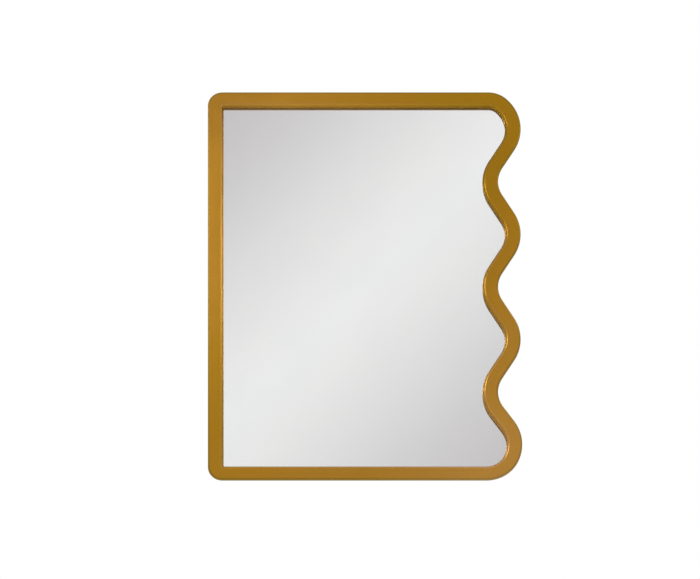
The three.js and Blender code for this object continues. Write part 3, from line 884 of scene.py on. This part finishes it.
def screw_mesh():
    """Pan-head screw with a tapered cross slot.

    Its head rests on y = 0 and its point is towards the front.
    """
    profile = [
        (SCREW_POINT_RADIUS, -SCREW_LENGTH),
        (SCREW_RADIUS, SCREW_TIP - SCREW_LENGTH),
        (SCREW_RADIUS, 0),
        (HEAD_RADIUS, 0),
    ]
    for cosine, sine in quarter_turn():
        radius = HEAD_TOP_RADIUS + (HEAD_RADIUS - HEAD_TOP_RADIUS) * cosine
        profile.append((radius, HEAD_SIDE + (HEAD_HEIGHT - HEAD_SIDE) * sine))
    wide, long = SLOT_WIDTH / 2, SLOT_LENGTH / 2
    arm = [(long, -wide), (long, wide), (wide, wide)]
    cross = []
    for quarter in range(4):
        for x, z in arm:
            for _ in range(quarter):
                x, z = -z, x
            cross.append((x, z))
    rows = []
    for step in (-1, 1):
        scale = 1 + SLOT_TAPER * step
        rows.append([(x * scale, HEAD_HEIGHT + step * SLOT_DEPTH, z * scale) for x, z in cross])
    return carved(turned(profile), [stack(rows)], "screw")


def button_mesh(thickness, reach):
    """Round-ended plate about the screw hole at the origin, reaching towards +X."""
    far = reach - BUTTON_RADIUS
    half = TURNED_SIDES // 2
    edge = arc(far, 0, BUTTON_RADIUS, -math.pi / 2, math.pi / 2, half)
    edge += arc(0, 0, BUTTON_RADIUS, math.pi / 2, 1.5 * math.pi, half)
    hole = []
    for x, z in edge:
        away = math.hypot(x, z)
        hole.append((x * HOLE_RADIUS / away, z * HOLE_RADIUS / away))
    rows = []
    for outline, y in ((edge, 0), (edge, thickness), (hole, thickness), (hole, 0)):
        rows.append([(x, y, z) for x, z in outline])
    return to_mesh(stack(rows, capped=False), "turn_button")


def strap_mesh(width, screw_drops):
    """Plate against the frame whose upper end is rolled round the pivot at the origin."""
    bore = CURL_RADIUS - STRAP_THICKNESS
    stations = []
    for cosine, sine in quarter_turn():
        z = -STRAP_LENGTH + STRAP_CORNER * (1 - cosine)
        half = width / 2 - STRAP_CORNER * (1 - sine)
        stations.append(((-CURL_RADIUS, z), (-bore, z), half))
    turns = TURNED_SIDES
    for i in range(turns + 1):
        angle = math.pi - CURL_TURN * i / turns
        way = Vector((math.cos(angle), math.sin(angle)))
        stations.append((tuple(way * CURL_RADIUS), tuple(way * bore), width / 2))
    rows = []
    for (y0, z0), (y1, z1), half in stations:
        rows.append([(-half, y0, z0), (half, y0, z0), (half, y1, z1), (-half, y1, z1)])
    drills = []
    for drop in screw_drops:
        drill = turned([(HOLE_RADIUS, -2 * CURL_RADIUS), (HOLE_RADIUS, 0)])
        bmesh.ops.translate(drill, vec=(0, 0, drop), verts=drill.verts)
        drills.append(drill)
    return carved(stack(rows), drills, "hanger_strap")


def ring_mesh():
    """D-shaped wire ring, its bar's middle at the origin and its bow below."""
    corner_x = RING_HALF_WIDTH - RING_SHOULDER
    corner_z = WIRE_RADIUS - RING_SHOULDER
    rows = []
    for i in range(WIRE_SIDES):
        angle = 2 * math.pi * i / WIRE_SIDES
        inset = WIRE_RADIUS * (1 - math.cos(angle))
        y = WIRE_RADIUS * math.sin(angle)
        bow = RING_HALF_WIDTH - inset
        shoulder = RING_SHOULDER - inset
        outline = arc(0, corner_z - RING_SIDE, bow, math.pi, 2 * math.pi, 2 * TURNED_SIDES)
        outline += arc(corner_x, corner_z, shoulder, 0, math.pi / 2, ROUND_STEPS)
        outline += arc(-corner_x, corner_z, shoulder, math.pi / 2, math.pi, ROUND_STEPS)
        rows.append([(x, y, z) for x, z in outline])
    return to_mesh(stack(rows, capped=False), "hanger_ring")


def bumper_mesh(radius, height):
    """Rubber buffer with a rounded rear edge."""
    profile = [(radius - BUMPER_FOOT, 0), (radius, BUMPER_FOOT)]
    for cosine, sine in quarter_turn():
        run = BUMPER_ROUND * (1 - cosine)
        profile.append((radius - run, height - BUMPER_ROUND * (1 - sine)))
    return to_mesh(turned(profile), "wall_bumper")


def middle_of(node):
    low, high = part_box(node)
    return (low + high) / 2


def fit(node, mesh, place, turn, finishes, arris=0.0):
    """Puts a finer mesh in a CAD node's place, in that node's finish and on its body."""
    piece = new_object(f"{node}_fine", mesh.copy())
    piece.data.transform(Matrix.Translation(place) @ Matrix.Rotation(turn, 4, "Y"))
    shade(piece.data)
    slot = slot_of(node)
    piece.data.materials.clear()
    piece.data.materials.append(finishes[slot])
    if arris:
        edges = piece.modifiers.new("arrises", "BEVEL")
        edges.width = arris
        edges.segments = 2
        edges.limit_method = "ANGLE"
        edges.angle_limit = math.radians(35)
    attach(piece, BODY_OF[node])
    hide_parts(node)


def fit_fittings(finishes):
    screw = screw_mesh()
    turn = 0.0
    for node in frame["nodes"]:
        low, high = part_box(node)
        middle = middle_of(node)
        if "screw" in node:
            turn += SCREW_TURN
            fit(node, screw, (middle.x, high.y - HEAD_HEIGHT, middle.z), turn, finishes)
        elif node.startswith("turn_button"):
            pivot = middle_of(node.replace("turn_button", "turn_button_screw"))
            way = middle - pivot
            reach = max(high.x - low.x, high.z - low.z) - BUTTON_RADIUS
            plate = button_mesh(high.y - low.y, reach)
            turned_by = math.atan2(-way.z, way.x)
            fit(node, plate, (pivot.x, low.y, pivot.z), turned_by, finishes, METAL_ARRIS)
        elif node.startswith("hanger_strap"):
            pivot_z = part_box(node)[0].z + STRAP_LENGTH
            screws = [n for n in frame["nodes"] if n.startswith(node.replace("strap", "screw"))]
            drops = [middle_of(n).z - pivot_z for n in screws]
            strap = strap_mesh(high.x - low.x, drops)
            fit(node, strap, (middle.x, low.y + CURL_RADIUS, pivot_z), 0, finishes, METAL_ARRIS)
        elif node.startswith("hanger_ring"):
            fit(node, ring_mesh(), (middle.x, middle.y, high.z - WIRE_RADIUS), 0, finishes)
        elif node.startswith("wall_bumper"):
            bumper = bumper_mesh((high.x - low.x) / 2, high.y - low.y)
            fit(node, bumper, (middle.x, low.y, middle.z), 0, finishes)


# ---------------------------------------------------------------- assembly

# What each CAD piece is finished in, by the start of its name
FINISHES = (
    ("mirror_glass", "clear_glass"),
    ("mirror_silvering", "silvering"),
    ("foam_sheet", "foam"),
    ("backing_board", "hardboard"),
    ("dowel", "beech"),
    ("turn_button", "zinc_steel"),
    ("hanger_screw", "zinc_steel"),
    ("hanger", "nickel_steel"),
    ("wall_bumper", "bumper_rubber"),
)

BODIES = frame["record"]["behaviour"]["bodies"]
BODY_OF = {node: body for body, nodes in BODIES.items() for node in nodes}


def slot_of(node):
    return next((slot for start, slot in FINISHES if node.startswith(start)), "gold_lacquer")


def make_finishes():
    zinc = (linear(160, 165, 171), linear(196, 199, 202))
    nickel = (linear(184, 180, 169), linear(207, 203, 193))
    beech = (linear(190, 148, 98), linear(212, 172, 122))
    rubber = (linear(34, 34, 37), linear(48, 48, 52))
    return {
        "gold_lacquer": gold_lacquer(),
        "clear_glass": clear_glass(),
        "silvering": silvering(),
        "foam": simple("foam", linear(222, 222, 216), linear(238, 238, 234), 0.9, 900.0),
        "hardboard": hardboard(),
        "beech": simple("beech", *beech, 0.75, 500.0, (0.08, 1, 1)),
        "zinc_steel": plated_steel("zinc_steel", *zinc, 0.34),
        "nickel_steel": plated_steel("nickel_steel", *nickel, 0.25),
        "bumper_rubber": simple("bumper_rubber", *rubber, 0.8, 800.0),
    }


def dress_frame_nodes(finishes):
    """The CAD pieces whose shape is right keep it, and take their finish here."""
    for node, piece in frame["nodes"].items():
        piece.data.materials.clear()
        piece.data.materials.append(finishes[slot_of(node)])


scene = bpy.context.scene
scene.view_settings.view_transform = "Standard"
build_camera()
build_world()
build_card()
build_floor()
build_lights()
finishes = make_finishes()
dress_frame_nodes(finishes)
frame_skins(finishes["gold_lacquer"])
fit_fittings(finishes)
